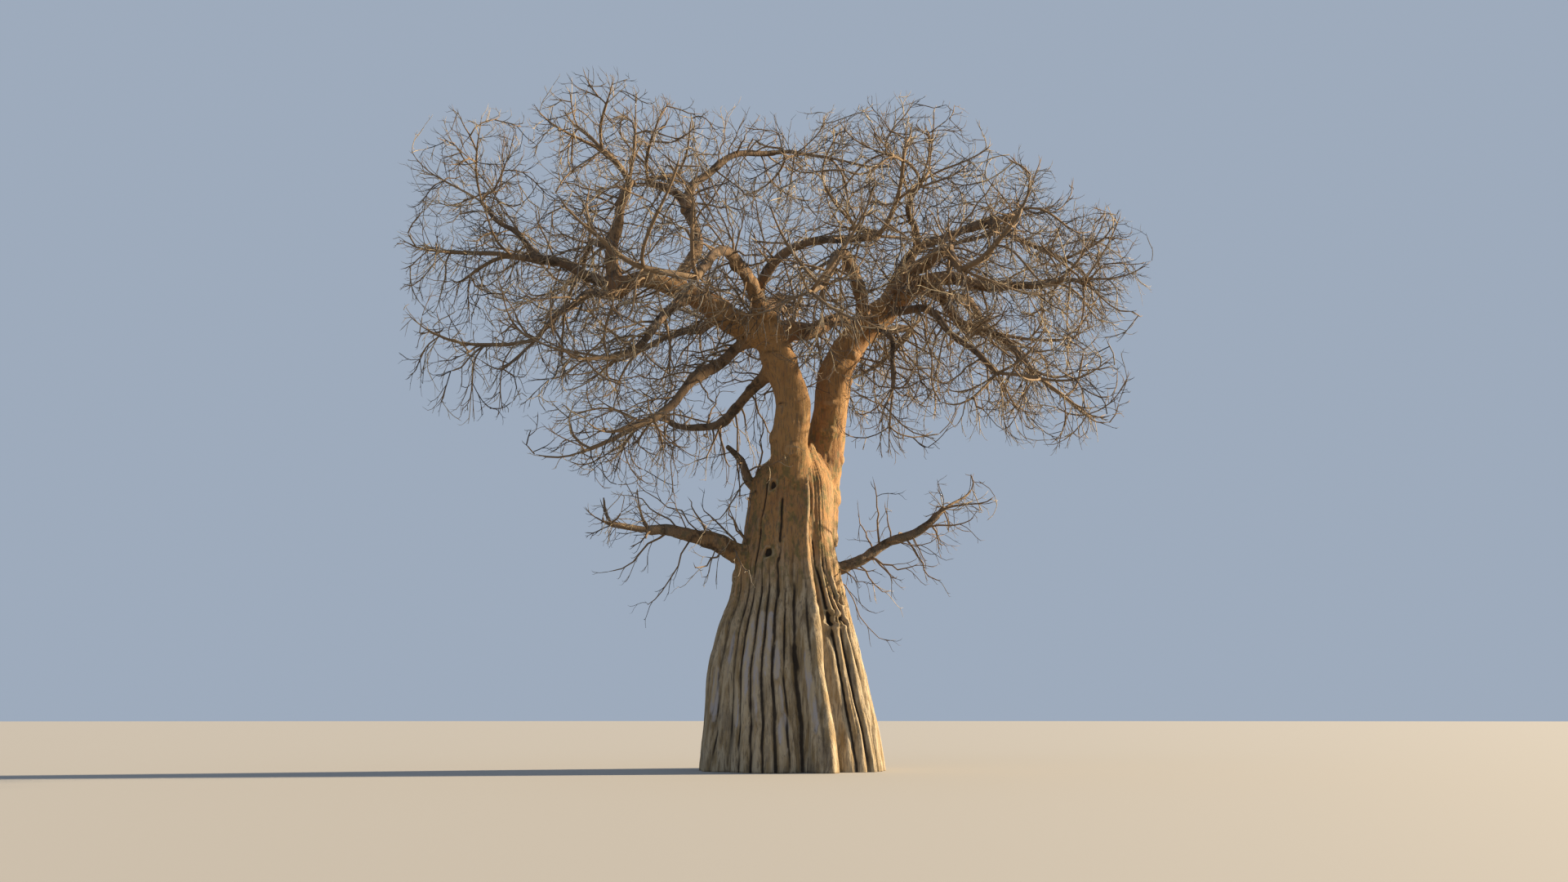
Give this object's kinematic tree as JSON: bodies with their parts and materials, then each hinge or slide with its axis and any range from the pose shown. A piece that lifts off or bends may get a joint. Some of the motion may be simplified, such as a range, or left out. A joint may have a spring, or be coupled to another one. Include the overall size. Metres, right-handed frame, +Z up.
{
  "type": "baobab tree",
  "caption": "Bare baobab: a fluted, flaring trunk that forks into two stems, crooked boughs spreading in a wide flat-topped crown, and masses of leafless twigs at their tips.",
  "frame": {"origin": "middle of the flat cut under the trunk, at ground level", "axes": "+Z up the trunk; +X across the tree to the right as it is seen from -Y, the side that shows its fork"},
  "size_m": [21.2002, 19.4754, 19.9255],
  "materials": {
    "trunk_bark": "matt, folded grey-brown bark, worn to pale strips round the foot",
    "bough_bark": "matt, smooth orange-brown bark",
    "twig_bark": "matt grey-brown twigs"
  },
  "bodies": {
    "root": {"trunk": "trunk_bark", "left_stem": "trunk_bark", "right_stem": "trunk_bark", "bough_left_main": "bough_bark", "bough_cross": "bough_bark", "bough_center_arch": "bough_bark", "bough_front_left": "bough_bark", "bough_back_left": "bough_bark", "bough_back_mid": "bough_bark", "bough_left_low": "bough_bark", "bough_left_curl": "bough_bark", "bough_left_arch": "bough_bark", "bough_left_drop": "bough_bark", "bough_left_long": "bough_bark", "bough_left_upright": "bough_bark", "bough_left_hang": "bough_bark", "bough_left_rise": "bough_bark", "bough_left_shelf": "bough_bark", "bough_crown_top": "bough_bark", "bough_right_main": "bough_bark", "bough_right_upper": "bough_bark", "bough_front_mid": "bough_bark", "bough_front_right": "bough_bark", "bough_back_right": "bough_bark", "bough_right_mid": "bough_bark", "bough_right_hang": "bough_bark", "bough_right_droop": "bough_bark", "bough_right_fall": "bough_bark", "bough_right_up": "bough_bark", "bough_left_foot": "bough_bark", "bough_right_foot": "bough_bark", "bough_left_shoulder": "bough_bark", "twigs_left_long": "twig_bark", "twigs_left_rise": "twig_bark", "twigs_left_upright": "twig_bark", "twigs_left_shelf": "twig_bark", "twigs_left_arch": "twig_bark", "twigs_crown_top": "twig_bark", "twigs_left_hang": "twig_bark", "twigs_left_drop": "twig_bark", "twigs_left_low": "twig_bark", "twigs_left_curl": "twig_bark", "twigs_front_left": "twig_bark", "twigs_front_mid": "twig_bark", "twigs_center_arch": "twig_bark", "twigs_front_right": "twig_bark", "twigs_back_left": "twig_bark", "twigs_back_mid": "twig_bark", "twigs_cross": "twig_bark", "twigs_back_right": "twig_bark", "twigs_right_upper": "twig_bark", "twigs_right_fall": "twig_bark", "twigs_right_up": "twig_bark", "twigs_right_main": "twig_bark", "twigs_right_droop": "twig_bark", "twigs_right_mid": "twig_bark", "twigs_right_hang": "twig_bark", "twigs_left_foot": "twig_bark", "twigs_right_foot": "twig_bark"}
  },
  "joints": []
}
